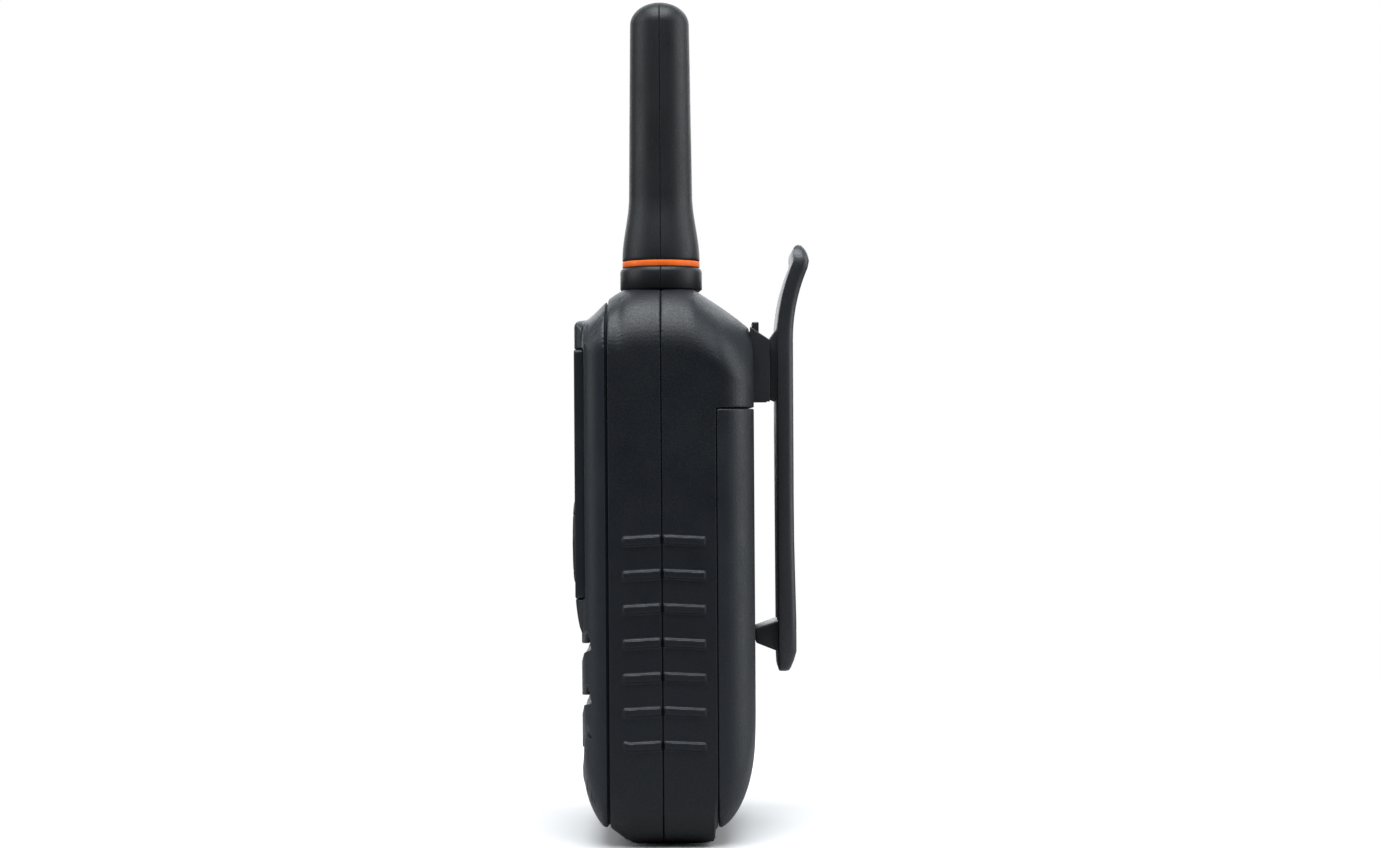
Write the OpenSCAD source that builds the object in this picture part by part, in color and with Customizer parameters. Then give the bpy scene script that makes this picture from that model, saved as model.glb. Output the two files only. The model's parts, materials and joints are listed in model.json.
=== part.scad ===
// Handheld two-way radio with a stub antenna, three AA cells and a sprung belt clip.
// +Z is up, the display faces -Y, and the origin is the middle of the foot on the parting plane.

/* [Body] */
// Height of the body's flat top above the foot
body_h = 108; // [106:0.5:110]
// Width across the flat side faces
body_w = 55; // [54:0.5:57]
// Distance from the parting plane to the back face
back_y = 18; // [17.8:0.1:18.4]
// Wall thickness of the shells
wall = 1.6; // [1.4:0.1:1.8]
// Radius of the shoulders, seen from the front
shoulder_r = 12.5; // [11:0.5:14]
// Radius of the bottom corners, seen from the front
heel_r = 8.5; // [7:0.5:9]

/* [Grip] */
// Number of ribs in each row
rib_count = 7; // [4:1:7]
// Distance from one rib to the next
rib_pitch = 6.56; // [6:0.02:6.6]
// How far a rib stands out of the side face
rib_depth = 0.5; // [0.2:0.1:0.8]

/* [Antenna] */
// Height of the antenna's tip above the foot
antenna_top = 165; // [160:1:172]
// Sideways place of the antenna
antenna_x = 10; // [8:0.5:11]
// Radius of the collar that stands on the body
collar_r = 8.1; // [7.8:0.1:8.4]
// Radius of the coloured ring
ring_r = 7.5; // [7.3:0.1:7.7]

/* [Front] */
// Half the width of the display bezel
bezel_hw = 21.5; // [20:0.5:22]
// Height of the keypad's centre
key_z = 57.8; // [57.6:0.1:58]
// Outer radius of the key ring
key_r = 8.8; // [8.6:0.1:8.9]
// Travel of a key
key_travel = 0.6; // [0.3:0.1:0.6]
// Height of the speaker's centre
speaker_z = 26.5; // [26:0.5:27]
// Distance between the speaker slots
slot_pitch = 10.3; // [9.5:0.1:10.5]

/* [Side controls] */
// Height of the middle of the push-to-talk button
ptt_z = 73; // [72.5:0.5:73]
// Travel of the push-to-talk button
ptt_travel = 0.9; // [0.5:0.1:0.9]
// Height of the accessory jack
jack_z = 90.9; // [90.5:0.1:91]

/* [Batteries] */
// Radius of one AA cell
cell_r = 7.2; // [6.9:0.1:7.2]
// Distance between the cells' centres
cell_pitch = 14.8; // [14.6:0.1:14.8]
// Height of the battery cover's top edge
cover_top = 84.6; // [84:0.1:85]

/* [Belt clip] */
// Radius of the hinge pin
pin_r = 0.9; // [0.8:0.05:0.9]
// Half the width of the clip's arm
arm_hw = 12; // [10:0.5:13]
// Running clearance round the hinge pin
pin_gap = 0.05; // [0.02:0.01:0.08]

/* [Hidden] */
$fn = 64;
hw = body_w / 2;
side_reach = hw + 10;
// Front shell, rear band and the reveal groove between the front cover and the shell
front_y = -10.3;
groove_y = front_y - 0.5;
// Width of the groove along the parting plane
parting = 0.34;
band_y = 10.5;
face_y = -16.4;
face_wall = 1.5;
foot_front = -6.3;
foot_rear = 9.6;
sole_h = 0.8;
seat_z = 3.1;
slope = 0.655;
slope_from = 6.4;
// Bezel, lens and the plane they sit on
bezel_y = [-16.9, -14.9];
bezel_z = [47.8, 96];
swell_z = [40.9, 102.2];
// Height up to which the front cover is hollowed out for the speaker
grille_top = 43.4;
window_x = 13.5;
window_z = [71, 92];
lens_x = 17;
lens_z = [68.8, 94.2];
// Circuit board
board_y = [-3.0, -1.6];
board_z = [12, 98];
// Screws that hold the two shells together
screws = [[-19.5, 77], [19.5, 77], [-17, 7.5], [17, 7.5]];
screw_r = 1.2;
// Battery compartment
cell_y = 8.95;
cell_len = 50.5;
nub_h = 1.2;
bay_z = [13, 68.5];
bay_x = 22.6;
contact_t = 0.5;
cover_gap = 0.25;
land = 0.18;
cover_wall = 1.4;
// Belt clip: pin axis, arm faces and the channel in the rear shell
pin_y = 20;
pin_z = 92.6;
arm_y = [22.9, 26.1];
arm_z = [31.8, 117];
floor_y = [17.55, 18.5];
cheek_x = [9.2, 10.8];
pin_end = 10.2;
channel_z = 85.6;
// Speaker's back plane, and the microphone's place
speaker_y = -8;
mic = [19.5, 34];
antenna_foot = 101;

// Points of an ellipse's arc, from angle a0 to a1
function oval(c, r, a0, a1, n = 8) =
    [for (i = [0 : n]) let (a = a0 + (a1 - a0) * i / n) c + [r[0] * cos(a), r[1] * sin(a)]];
function arc(c, r, a0, a1, n = 8) = oval(c, [r, r], a0, a1, n);
function round_rect(x, y, r) = concat(
    arc([x[1] - r, y[1] - r], r, 0, 90),
    arc([x[0] + r, y[1] - r], r, 90, 180),
    arc([x[0] + r, y[0] + r], r, 180, 270),
    arc([x[1] - r, y[0] + r], r, 270, 360));

// Extrusions along each axis: the outline's two coordinates are the other two axes in X, Y, Z order
module along_x(x) translate([x[0], 0, 0]) rotate([90, 0, 90]) linear_extrude(x[1] - x[0]) children();
module along_y(y) translate([0, y[1], 0]) rotate([90, 0, 0]) linear_extrude(y[1] - y[0]) children();
module along_z(z) translate([0, 0, z[0]]) linear_extrude(z[1] - z[0]) children();
module block(x, y, z) translate([x[0], y[0], z[0]]) cube([x[1] - x[0], y[1] - y[0], z[1] - z[0]]);
module rod_x(x, y, z, r) translate([x[0], y, z]) rotate([0, 90, 0]) cylinder(h = x[1] - x[0], r = r);
module rod_y(x, y, z, r) translate([x, y[0], z]) rotate([-90, 0, 0]) cylinder(h = y[1] - y[0], r = r);
module rod_z(x, y, z, r) translate([x, y, z[0]]) cylinder(h = z[1] - z[0], r = r);
// A frame whose own Z axis points out of the front
module forward(x, y, z) translate([x, y, z]) rotate([90, 0, 0]) children();
module both_sides() {
    children();
    mirror([1, 0, 0]) children();
}

// A round wire along a path; ref is any direction that the path never follows
function unit(v) = v / norm(v);
function tangent(p, i) = unit(p[min(i + 1, len(p) - 1)] - p[max(i - 1, 0)]);
function ring(c, t, ref, r, n) =
    let (u = unit(cross(t, ref)), v = cross(t, u))
    [for (k = [0 : n - 1]) c + r * (u * cos(360 * k / n) + v * sin(360 * k / n))];
module wire(path, r, ref, n = 6) {
    last = (len(path) - 1) * n;
    points = [for (i = [0 : len(path) - 1]) each ring(path[i], tangent(path, i), ref, r, n)];
    sides = [for (i = [0 : len(path) - 2], k = [0 : n - 1])
        let (a = i * n + k, b = i * n + (k + 1) % n)
        each [[b, a, a + n], [b, a + n, b + n]]];
    first_cap = [for (k = [0 : n - 1]) k];
    last_cap = [for (k = [n - 1 : -1 : 0]) last + k];
    polyhedron(points, concat([first_cap], sides, [last_cap]));
}

// Outline of the body from the front, from the side and from above, each inset by e
function front_outline(e) = concat(
    arc([hw - shoulder_r, body_h - shoulder_r], shoulder_r - e, 0, 90, 20),
    arc([shoulder_r - hw, body_h - shoulder_r], shoulder_r - e, 90, 180, 20),
    arc([heel_r - hw, heel_r], heel_r - e, 180, 270, 12),
    arc([hw - heel_r, heel_r], heel_r - e, 270, 360, 12));
function slope_z(y) = body_h - slope * (y - slope_from);
function body_profile(e) = concat(
    [[foot_front + 0.4 * e, e], [foot_rear - 0.4 * e, e]],
    [[foot_rear + 0.3 - e, 0.4 + e], [foot_rear + 0.4 - e, 2.6 + e], [band_y, seat_z + e]],
    oval([back_y - 10, 20], [10 - e, 18 - e], -70, 0, 14),
    [[back_y - e, slope_z(back_y - e) - 1.2 * e], [slope_from - 0.3 * e, body_h - e]],
    [[-7.3 + 0.3 * e, body_h - e], [-8.8 + 0.5 * e, body_h - 0.8 - e], [front_y, body_h - 1.8 - 1.2 * e]],
    [[-14.3 + 0.6 * e, body_h - 5.8 - 0.6 * e], [face_y + e, body_h - 7.1 - 0.6 * e]],
    oval([-6, 18], [-6 - face_y - e, 17.6 - e], 180, 237, 12),
    [[front_y, seat_z + e], [-9.1 + e, 2.2 + e]]);
crown_r = (22.5 * 22.5 + 1.1 * 1.1) / 2.2;
crown_a = asin(22.5 / crown_r);
function body_plan(e) = concat(
    arc([0, face_y + e + crown_r], crown_r, -90 - crown_a, -90 + crown_a),
    arc([hw - 5, face_y + 6.1], 5 - e, -90, 0, 12),
    oval([hw - 9, band_y], [9 - e, back_y - band_y - e], 0, 90, 14),
    oval([9 - hw, band_y], [9 - e, back_y - band_y - e], 90, 180, 14),
    arc([5 - hw, face_y + 6.1], 5 - e, 180, 270, 12));
module body_form(y, z, e = 0) intersection() {
    along_y(y) polygon(front_outline(e));
    along_x([-side_reach, side_reach]) polygon(body_profile(e));
    along_z(z) polygon(body_plan(e));
}

// Shells

// All but the body inset by depth, between two Y planes: cuts a groove round the outside
module groove(y, depth) difference() {
    block([-side_reach, side_reach], y, [-1, body_h + 1]);
    body_form([y[0] - 1, y[1] + 1], [0, body_h], depth);
}

module grip_ribs(y, tilt) both_sides() for (i = [0 : rib_count - 1])
    translate([hw - 0.4, (y[0] + y[1]) / 2, 59.2 - rib_pitch * i])
        rotate([tilt, 0, 0])
            block([0, 0.4 + rib_depth], [y[0] - y[1], y[1] - y[0]] / 2, [-0.72, 0.72]);

// Rubber sole under both shells
module foot_sole() color("#17181a") intersection() {
    body_form([foot_front - 2, foot_rear + 1], [0, sole_h]);
    along_z([0, sole_h]) polygon(round_rect([-19.5, 19.5], [foot_front - 0.8, foot_rear + 0.4], 4));
}

module ptt_opening() along_x([-side_reach, -hw + wall + 0.1])
    polygon(round_rect([-4.8, 4.8], [ptt_z - 11.5, ptt_z + 11.5], 2.5));

module front_shell() color("#1d2125") difference() {
    union() {
        difference() {
            body_form([front_y, 0], [sole_h, body_h]);
            body_form([front_y + wall, 1], [wall, body_h - wall], wall);
        }
        grip_ribs([-7.45, -0.4], 3);
        for (s = screws) rod_y(s[0], [front_y + 0.5, 0], s[1], 2.9);
        for (x = [-20, 20], z = [20, 66]) rod_y(x, [front_y + 0.5, board_y[0]], z, 1.5);
        // Seats of the speaker, the display and the key board
        rod_y(0, [-12.4, front_y + 0.5], speaker_z, 16.3);
        for (x = [-14.5, 14.5], z = [70.6, 92.4]) rod_y(x, [-11.6, front_y + 0.5], z, 1);
        for (x = [-12, 12], z = [46.5, 67]) rod_y(x, [-11.2, front_y + 0.5], z, 1.2);
    }
    rod_y(0, [-13, front_y + wall + 0.1], speaker_z, 14.9);
    block([-13, 13], [front_y - 1, front_y + wall + 0.1], [72, 91]);
    for (s = screws) rod_y(s[0], [-7, 1], s[1], screw_r + 0.05);
    rod_z(antenna_x, 0, [body_h - 4, body_h + 1], 6.15);
    ptt_opening();
    groove([-parting / 2, 1], 0.45);
}

module battery_bay() {
    block([-bay_x, bay_x], [1.5, 14.5], bay_z);
    both_sides() block([bay_x + 1.2, hw - wall], [-1, band_y - wall], [bay_z[0], bay_z[1] + 1.6]);
}

module rear_shell() color("#20252a") difference() {
    union() {
        difference() {
            body_form([0, back_y], [sole_h, body_h]);
            block([-side_reach, side_reach], [band_y, back_y + 1], [-1, cover_top]);
            intersection() {
                body_form([-1, band_y - wall], [0, body_h], wall);
                union() {
                    block([-hw, hw], [-1, band_y], [bay_z[1] + 1.5, body_h]);
                    block([-hw, hw], [-1, band_y], [0, bay_z[0] - 1.5]);
                }
            }
            body_form([band_y - wall - 0.1, 14.1], [cover_top + wall, body_h], wall);
        }
        grip_ribs([0.4, 8.2], -3);
        for (s = screws) rod_y(s[0], [0, band_y - 1], s[1], 3.4);
        // End walls of the battery bay, and the rails that hold the cover
        for (z = [bay_z[0] - 1.5, bay_z[1]]) block([-bay_x, bay_x], [5, 14], [z, z + 1.5]);
        both_sides() block([bay_x + 0.4, bay_x + 1.4], [band_y - 1, 12.6], bay_z);
        both_sides() block([bay_x + 1, bay_x + 2.8], [11.8, 12.6], bay_z);
        // Low lands behind the cover's edges, so that no light shows through its joint
        difference() {
            body_form([band_y - 0.3, band_y + land], [seat_z, cover_top], 0.9);
            body_form([band_y - 1, band_y + 1], [0, body_h], 2.6);
        }
        block([-22, 22], [band_y - 0.3, back_y - 1.6], [cover_top - land, cover_top + 0.3]);
    }
    battery_bay();
    for (s = screws) {
        rod_y(s[0], [-1, 8], s[1], screw_r + 0.1);
        rod_y(s[0], [7.4, back_y], s[1], 2.4);
    }
    rod_z(antenna_x, 0, [body_h - 4, body_h + 1], 6.15);
    ptt_opening();
    // Seat and undercut channel of the belt clip's base
    block([-11, 11], [17.4, back_y + 1], [channel_z, body_h]);
    block([-6, 6], [16, back_y], [channel_z, body_h]);
    block([-8, 8], [15.4, 16.3], [channel_z, body_h]);
    // Recess of the jack cover and the way in to the jack
    block([-side_reach, -hw + 0.8], [1, 9.5], [jack_z - 4.4, jack_z + 4.3]);
    rod_x([-hw, -hw + wall + 0.1], 5, jack_z, 2.6);
    groove([-1, parting / 2], 0.45);
}

module screw_cross(s) for (a = [0, 90])
    translate([s[0], 8.8, s[1]]) rotate([0, a, 0]) cube([2.4, 1.4, 0.5], center = true);
module case_screws() color("#9a9c9e") for (s = screws) difference() {
    union() {
        rod_y(s[0], [-6, 8], s[1], screw_r);
        rod_y(s[0], [7.4, 8.8], s[1], 2.1);
    }
    screw_cross(s);
}

// Front cover, display and keypad

module speaker_slot(z) {
    r = 80;
    a = asin(25.6 / r);
    along_y([-18, -12.6]) polygon(concat(
        arc([0, z + r], r + 1.7, -90 - a, -90 + a, 16),
        arc([0, z + r], r - 1.7, -90 + a, -90 - a, 16)));
}

// Brow and chin: the cover swells out to meet the bezel above and below it
module cover_swell() intersection() {
    along_x([-bezel_hw, bezel_hw]) polygon([
        [-14, swell_z[0]], [-15.6, swell_z[0]], [-16.1, 42.2], [-16.45, 43.9], [-16.75, 45.9],
        [bezel_y[0], 47.2], [bezel_y[0], 100.4], [-16.75, 101.1], [-16.3, 101.6], [-15.5, 101.95],
        [-14, swell_z[1]]]);
    along_z([40, 105]) polygon(concat(
        [[-bezel_hw, -13]],
        arc([2.5 - bezel_hw, bezel_y[0] + 2.5], 2.5, 180, 270, 6),
        arc([bezel_hw - 2.5, bezel_y[0] + 2.5], 2.5, 270, 360, 6),
        [[bezel_hw, -13]]));
}

module front_cover() color("#2d3135") difference() {
    union() {
        body_form([face_y - 1, front_y], [0, body_h]);
        cover_swell();
    }
    intersection() {
        body_form([face_y - 1, front_y + 1], [0, body_h], face_wall);
        union() {
            block([-hw, hw], [-13.4, 0], [0, body_h]);
            block([-hw, hw], [-16, 0], [0, grille_top]);
        }
    }
    groove([groove_y, front_y + 1], 0.7);
    block([-side_reach, side_reach], [-18, bezel_y[1]], [bezel_z[0] - 0.1, bezel_z[1] + 0.1]);
    block([-16, 16], [bezel_y[1] - 0.1, -12], [69, 94.5]);
    rod_y(0, [bezel_y[1] - 0.1, -12], key_z, key_r + 1.3);
    for (i = [-1, 0, 1]) speaker_slot(speaker_z - 1 + slot_pitch * i);
    rod_y(mic[0], [-18, -12], mic[1], 0.7);
}

module display_bezel() color("#24262a") difference() {
    along_y(bezel_y) polygon(round_rect([-bezel_hw, bezel_hw], bezel_z, 0.6));
    along_y([-18, -15.75]) polygon(round_rect([-lens_x - 0.1, lens_x + 0.1],
        [lens_z[0] - 0.1, lens_z[1] + 0.1], 3));
    block([-window_x, window_x], [-18, -14], window_z);
    rod_y(0, [-18, -14], key_z, key_r + 0.25);
}

module display_lens() color("#0d0f12") along_y([-16.75, -15.75])
    polygon(round_rect([-lens_x, lens_x], lens_z, 2.9));

module lcd_module() color("#8f978c") {
    block([-15.5, 15.5], [-14.7, -11.6], [69.5, 93.5]);
}

// One quarter of the key ring, turned to its place
module key_sector(turn) forward(0, bezel_y[1] + 0.2, key_z) intersection() {
    rotate_extrude() polygon([[4.5, -0.6], [key_r + 0.9, -0.6], [key_r + 0.9, 0], [key_r, 0],
        [key_r, 2.6], [key_r - 0.7, 3.3], [5.1, 3.3], [4.5, 2.7]]);
    rotate(turn) along_z([-1, 4]) polygon([[0.42, 0], [20.42, 20], [20.42, -20]]);
}
module key_power() color("#2a2c30") key_sector(0);
module key_up() color("#2a2c30") key_sector(90);
module key_call() color("#2a2c30") key_sector(180);
module key_down() color("#2a2c30") key_sector(270);
module key_menu() color("#2a2c30") forward(0, bezel_y[1] + 0.2, key_z)
    rotate_extrude() polygon([[0, -0.6], [4.15, -0.6], [4.15, 2.7], [3.6, 3.3], [0, 3.3]]);

// The keys end their travel 0.05 mm short of the mat's bumps
key_back = bezel_y[1] + 0.8;
key_places = [[0, 0], [6.7, 0], [-6.7, 0], [0, 6.7], [0, -6.7]];
module keypad_mat() color("#3a3d40") {
    rod_y(0, [-13.3, -12.7], key_z, 10.6);
    for (p = key_places) {
        rod_y(p[0], [key_back + key_travel + 0.05, -13], key_z + p[1], 2);
        rod_y(p[0], [-13, -12.35], key_z + p[1], 1.1);
    }
}
module keypad_board() color("#205035") {
    along_y([-12, -11.2]) polygon(round_rect([-14, 14], [45.5, 69], 3));
    for (p = key_places) rod_y(p[0], [-12.25, -11.6], key_z + p[1], 2.2);
}

// Push-to-talk button and its switch on the board

ptt_back = -hw + 2.5;
module ptt_button() color("#26292d") {
    along_x([-hw - 0.8, -hw + 2]) polygon(round_rect([-4.55, 4.55], [ptt_z - 11.25, ptt_z + 11.25], 2.4));
    along_x([-hw + 1.7, ptt_back]) polygon(round_rect([-5.6, 5.6], [ptt_z - 12.5, ptt_z + 12.5], 2.4));
}
module ptt_switch() color("#303234") {
    block([-23.6, -20.2], [-5.4, board_y[0]], [68.5, 73.5]);
    block([ptt_back + ptt_travel + 0.1, -23], [-4.8, -3.6], [70, 72]);
}

// Speaker and microphone

module speaker_mesh() color("#191b1d")
    along_y([-13.65, -13.35]) polygon(round_rect([-18, 18], [12.3, 42.5], 4));
module speaker_basket() color("#6f7275") forward(0, speaker_y, speaker_z) rotate_extrude() polygon([
    [5, 0], [8, 0], [14.5, 3.4], [14.5, 4.4], [15.5, 4.4], [15.5, 5.3], [13.4, 5.3], [13.4, 4.2],
    [7.6, 1], [5, 1]]);
module speaker_cone() color("#1a1a1c") forward(0, speaker_y, speaker_z) rotate_extrude() polygon([
    [13.2, 4.7], [13.2, 5], [12.3, 5.25], [11.3, 4.9], [5.2, 2.4], [3.4, 3.2], [0, 3.7],
    [0, 3.3], [3.2, 2.8], [5, 2], [11.4, 4.5], [12.3, 4.85]]);
module speaker_magnet() color("#7d8084") {
    rod_y(0, [speaker_y, speaker_y + 2.6], speaker_z, 8);
    rod_y(0, [speaker_y + 2, speaker_y + 3.4], speaker_z, 6.5);
}
module microphone() color("#8a8c8e") rod_y(mic[0], [-12.3, -10.8], mic[1], 2.8);
module microphone_boot() color("#1c1c1e") difference() {
    rod_y(mic[0], [-12.9, front_y], mic[1], 3.4);
    rod_y(mic[0], [-12.3, front_y + 1], mic[1], 2.8);
    rod_y(mic[0], [-14, -12], mic[1], 0.9);
}

// Antenna: two half shells round a wound core, with the ring in a groove

function flare_r(t) = 6.26 + 0.7 * (1 + cos(180 * t));
module antenna_solid() translate([antenna_x, 0, 0]) rotate_extrude() polygon(concat(
    [[4.2, antenna_foot], [7, antenna_foot], [7, antenna_foot + 2], [6, antenna_foot + 2], [6, body_h]],
    [[collar_r, body_h], [collar_r, body_h + 3.6], [collar_r - 0.6, body_h + 4.4]],
    [[ring_r - 0.9, body_h + 4.4], [ring_r - 0.9, body_h + 5.6]],
    [for (i = [0 : 8]) [flare_r(i / 8), body_h + 5.6 + 13.4 * i / 8]],
    oval([0, antenna_top - 4.5], [5.85, 4.5], 0, 90),
    [[0, antenna_top - 7], [4.2, antenna_top - 7]]));
module antenna_front_half() color("#222629") intersection() {
    antenna_solid();
    block([0, 20], [-10, 0], [90, 180]);
}
module antenna_rear_half() color("#24282b") intersection() {
    antenna_solid();
    block([0, 20], [0, 10], [90, 180]);
}
module antenna_ring() color("#e7701f") difference() {
    rod_z(antenna_x, 0, [body_h + 4.4, body_h + 5.6], ring_r);
    rod_z(antenna_x, 0, [body_h + 4, body_h + 6], ring_r - 0.9);
}
module antenna_core() color("#d8d6cf") rod_z(antenna_x, 0, [antenna_foot - 2, antenna_top - 8], 2.4);
module antenna_coil() color("#b87333") {
    turns = 14;
    steps = 12;
    z = [antenna_foot + 6, antenna_top - 10];
    wire([for (i = [0 : turns * steps]) let (a = 360 * i / steps)
        [antenna_x + 2.95 * cos(a), 2.95 * sin(a), z[0] + (z[1] - z[0]) * i / (turns * steps)]],
        0.45, [0, 0, 1]);
}
module antenna_ferrule() color("#b5a04a") difference() {
    rod_z(antenna_x, 0, [antenna_foot - 2, antenna_foot + 5], 4.1);
    rod_z(antenna_x, 0, [antenna_foot - 3, antenna_foot + 6], 2.4);
}
module antenna_contact() color("#b5a04a")
    block([antenna_x - 2, antenna_x + 2], [board_y[1], 0.6], [93, antenna_foot - 2]);

// Electronics

module main_board() color("#1f5a3a") difference() {
    block([-23, 23], board_y, board_z);
    for (s = screws) rod_y(s[0], [-5, 1], s[1], 3.6);
}
module circuit_chips() color("#17181a") {
    block([-6, 6], [board_y[0] - 1.1, board_y[0]], [60, 72]);
    block([-14, -8], [board_y[0] - 1.4, board_y[0]], [46, 52]);
    block([9, 15], [board_y[0] - 1.2, board_y[0]], [47, 51]);
    for (z = [80 : 4 : 92]) block([8, 11], [board_y[0] - 0.9, board_y[0]], [z, z + 1.6]);
}
module rf_shield() color("#b9bcc0") difference() {
    block([-14, 2], [board_y[1], 1.4], [74, 97]);
    block([-13.7, 1.7], [board_y[1] - 1, 1.1], [74.3, 96.7]);
}
module accessory_jack() color("#151618") difference() {
    rod_x([-hw + 2.2, -14], 5, jack_z, 3);
    rod_x([-hw + 2, -16], 5, jack_z, 1.8);
}
module jack_cover() color("#1b1d20") {
    block([-hw + 0.05, -hw + 0.75], [1.3, 9], [jack_z - 4.1, jack_z + 4]);
    rod_z(-hw + 0.4, 9, [jack_z - 4.1, jack_z + 4], 0.35);
    rod_x([-hw + 0.7, -hw + 1.8], 5, jack_z, 1.5);
}

// Batteries and their contacts; the middle cell stands the other way up

module cell(x, base_z, up) {
    body = up > 0 ? [base_z, base_z + cell_len - nub_h] : [base_z + nub_h, base_z + cell_len];
    nub = up > 0 ? [base_z + cell_len - nub_h, base_z + cell_len] : [base_z, base_z + nub_h];
    rod_z(x, cell_y, body, cell_r);
    rod_z(x, cell_y, nub, 2.75);
}
cell_low = bay_z[0] + contact_t;
cell_high = bay_z[1] - contact_t - cell_len;
module battery_left() color("#c9a227") cell(-cell_pitch, cell_high, 1);
module battery_middle() color("#c9a227") cell(0, cell_low, -1);
module battery_right() color("#c9a227") cell(cell_pitch, cell_high, 1);

// A conical spring from its wide end at z to its narrow end, up or down
module cell_spring(x, z, up) {
    turns = 4;
    steps = 14;
    r = 0.3;
    h = cell_high - cell_low - 2 * r;
    wire([for (i = [0 : turns * steps]) let (t = i / (turns * steps), a = 360 * i / steps, w = 4.2 - 1.6 * t)
        [x + w * cos(a), cell_y + w * sin(a), z + up * (r + h * t)]], r, [0, 0, 1]);
}
module battery_springs() color("#b9bcc0") {
    for (x = [-cell_pitch, cell_pitch]) cell_spring(x, cell_low, 1);
    cell_spring(0, bay_z[1] - contact_t, -1);
}
module battery_contacts() color("#b9bcc0")
    for (x = [-cell_pitch, 0, cell_pitch], z = [bay_z[0], bay_z[1] - contact_t])
        block([x - 6, x + 6], [2.5, 13.8], [z, z + contact_t]);

// Battery cover: slides down, held behind the rear shell's rails by two lips
module battery_cover() color("#343a3e") {
    difference() {
        body_form([band_y + cover_gap, back_y], [0, cover_top - cover_gap]);
        body_form([band_y - 1, back_y], [0, cover_top + 1], cover_wall);
    }
    both_sides() block([24.9, hw - 0.9], [10.8, 11.6], [16, 66]);
    for (z = [71, 77]) block([-5, 5], [back_y - 0.5, back_y + 0.22], [z, z + 1.4]);
}

// Belt clip

module clip_base() color("#1d2024") difference() {
    union() {
        both_sides() along_x(cheek_x) polygon([[floor_y[0], 85.8], [21.4, 85.8], [21.4, 98.1],
            [floor_y[0], 100.7]]);
        block([-cheek_x[1], cheek_x[1]], floor_y, [85.8, 100]);
        // Foot that slides in the rear shell's channel
        block([-5.7, 5.7], [15.8, floor_y[1]], [85.8, 98]);
        block([-7.7, 7.7], [15.55, 16.15], [85.8, 98]);
        // Release tab
        block([-3.5, 3.5], [floor_y[0] + 0.6, floor_y[1] + 1], [98.5, 101.9]);
    }
    rod_x([-pin_end - 0.05, pin_end + 0.05], pin_y, pin_z, pin_r + 0.02);
}
module clip_pin() color("#a5a8ab") rod_x([-pin_end, pin_end], pin_y, pin_z, pin_r);
module clip_spring() color("#a5a8ab") {
    turns = 16;
    steps = 12;
    x = 4.8;
    r = 1.22;
    coil = [for (i = [0 : turns * steps + steps / 2]) let (a = 360 * i / steps)
        [x - 2 * x * i / (turns * steps + steps / 2), pin_y - r * cos(a), pin_z - r * sin(a)]];
    wire(concat([[x, pin_y - r, pin_z + 3.4]], coil, [[-x, pin_y + r, pin_z + 3.4]]), 0.2, [1, 0, 0]);
}

lever_r = 39;
function lever(y) = [for (i = [0 : 6]) let (a = 3.9 * i) [y + lever_r * (1 - cos(a)), 98 + lever_r * sin(a)]];
module clip_arm() color("#2b2c2f") difference() {
    union() {
        intersection() {
            along_x([-arm_hw, arm_hw]) polygon(concat(
                [[23.5, arm_z[0] + 0.4], [24.4, arm_z[0]], [25.4, arm_z[0] + 0.4]],
                [[arm_y[1] + 0.5, 36.4], [arm_y[1] + 0.4, 42], [arm_y[1], 58]],
                lever(arm_y[1]),
                [[28.8, 116.2], [27.8, arm_z[1]], [26.6, 116.4]],
                [for (i = [6 : -1 : 0]) lever(arm_y[0])[i]],
                [[arm_y[0], 36]]));
            along_y([20, 32]) polygon(concat(
                arc([arm_hw - 4, arm_z[1] - 4], 4, 0, 90),
                arc([4 - arm_hw, arm_z[1] - 4], 4, 90, 180),
                arc([7 - arm_hw, arm_z[0] + 4], 4, 180, 270),
                arc([arm_hw - 7, arm_z[0] + 4], 4, 270, 360)));
        }
        // Ears on the pin
        both_sides() along_x([5.4, 8.9]) polygon([[arm_y[0] + 0.2, 85.8], [21.4, 86.5], [20.3, 91],
            [20.3, 94.2], [21.4, 98.1], [arm_y[0] + 0.2, 100.7]]);
        both_sides() rod_x([5.4, 8.9], pin_y, pin_z, 1.45);
        // Tooth that closes on the battery cover
        along_x([-5, 5])
            polygon([[arm_y[0] + 0.2, 42], [18.45, 40.3], [18.45, 37.5], [arm_y[0] + 0.2, 35.6]]);
    }
    rod_x([-12, 12], pin_y, pin_z, pin_r + pin_gap);
}

front_shell();
rear_shell();
foot_sole();
front_cover();
display_bezel();
display_lens();
lcd_module();
key_menu();
key_up();
key_down();
key_call();
key_power();
keypad_mat();
keypad_board();
ptt_button();
ptt_switch();
speaker_mesh();
speaker_basket();
speaker_cone();
speaker_magnet();
microphone();
microphone_boot();
antenna_front_half();
antenna_rear_half();
antenna_ring();
antenna_core();
antenna_coil();
antenna_ferrule();
antenna_contact();
main_board();
circuit_chips();
rf_shield();
accessory_jack();
jack_cover();
battery_left();
battery_middle();
battery_right();
battery_springs();
battery_contacts();
case_screws();
battery_cover();
clip_base();
clip_pin();
clip_spring();
clip_arm();
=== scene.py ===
import json
import math

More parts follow.
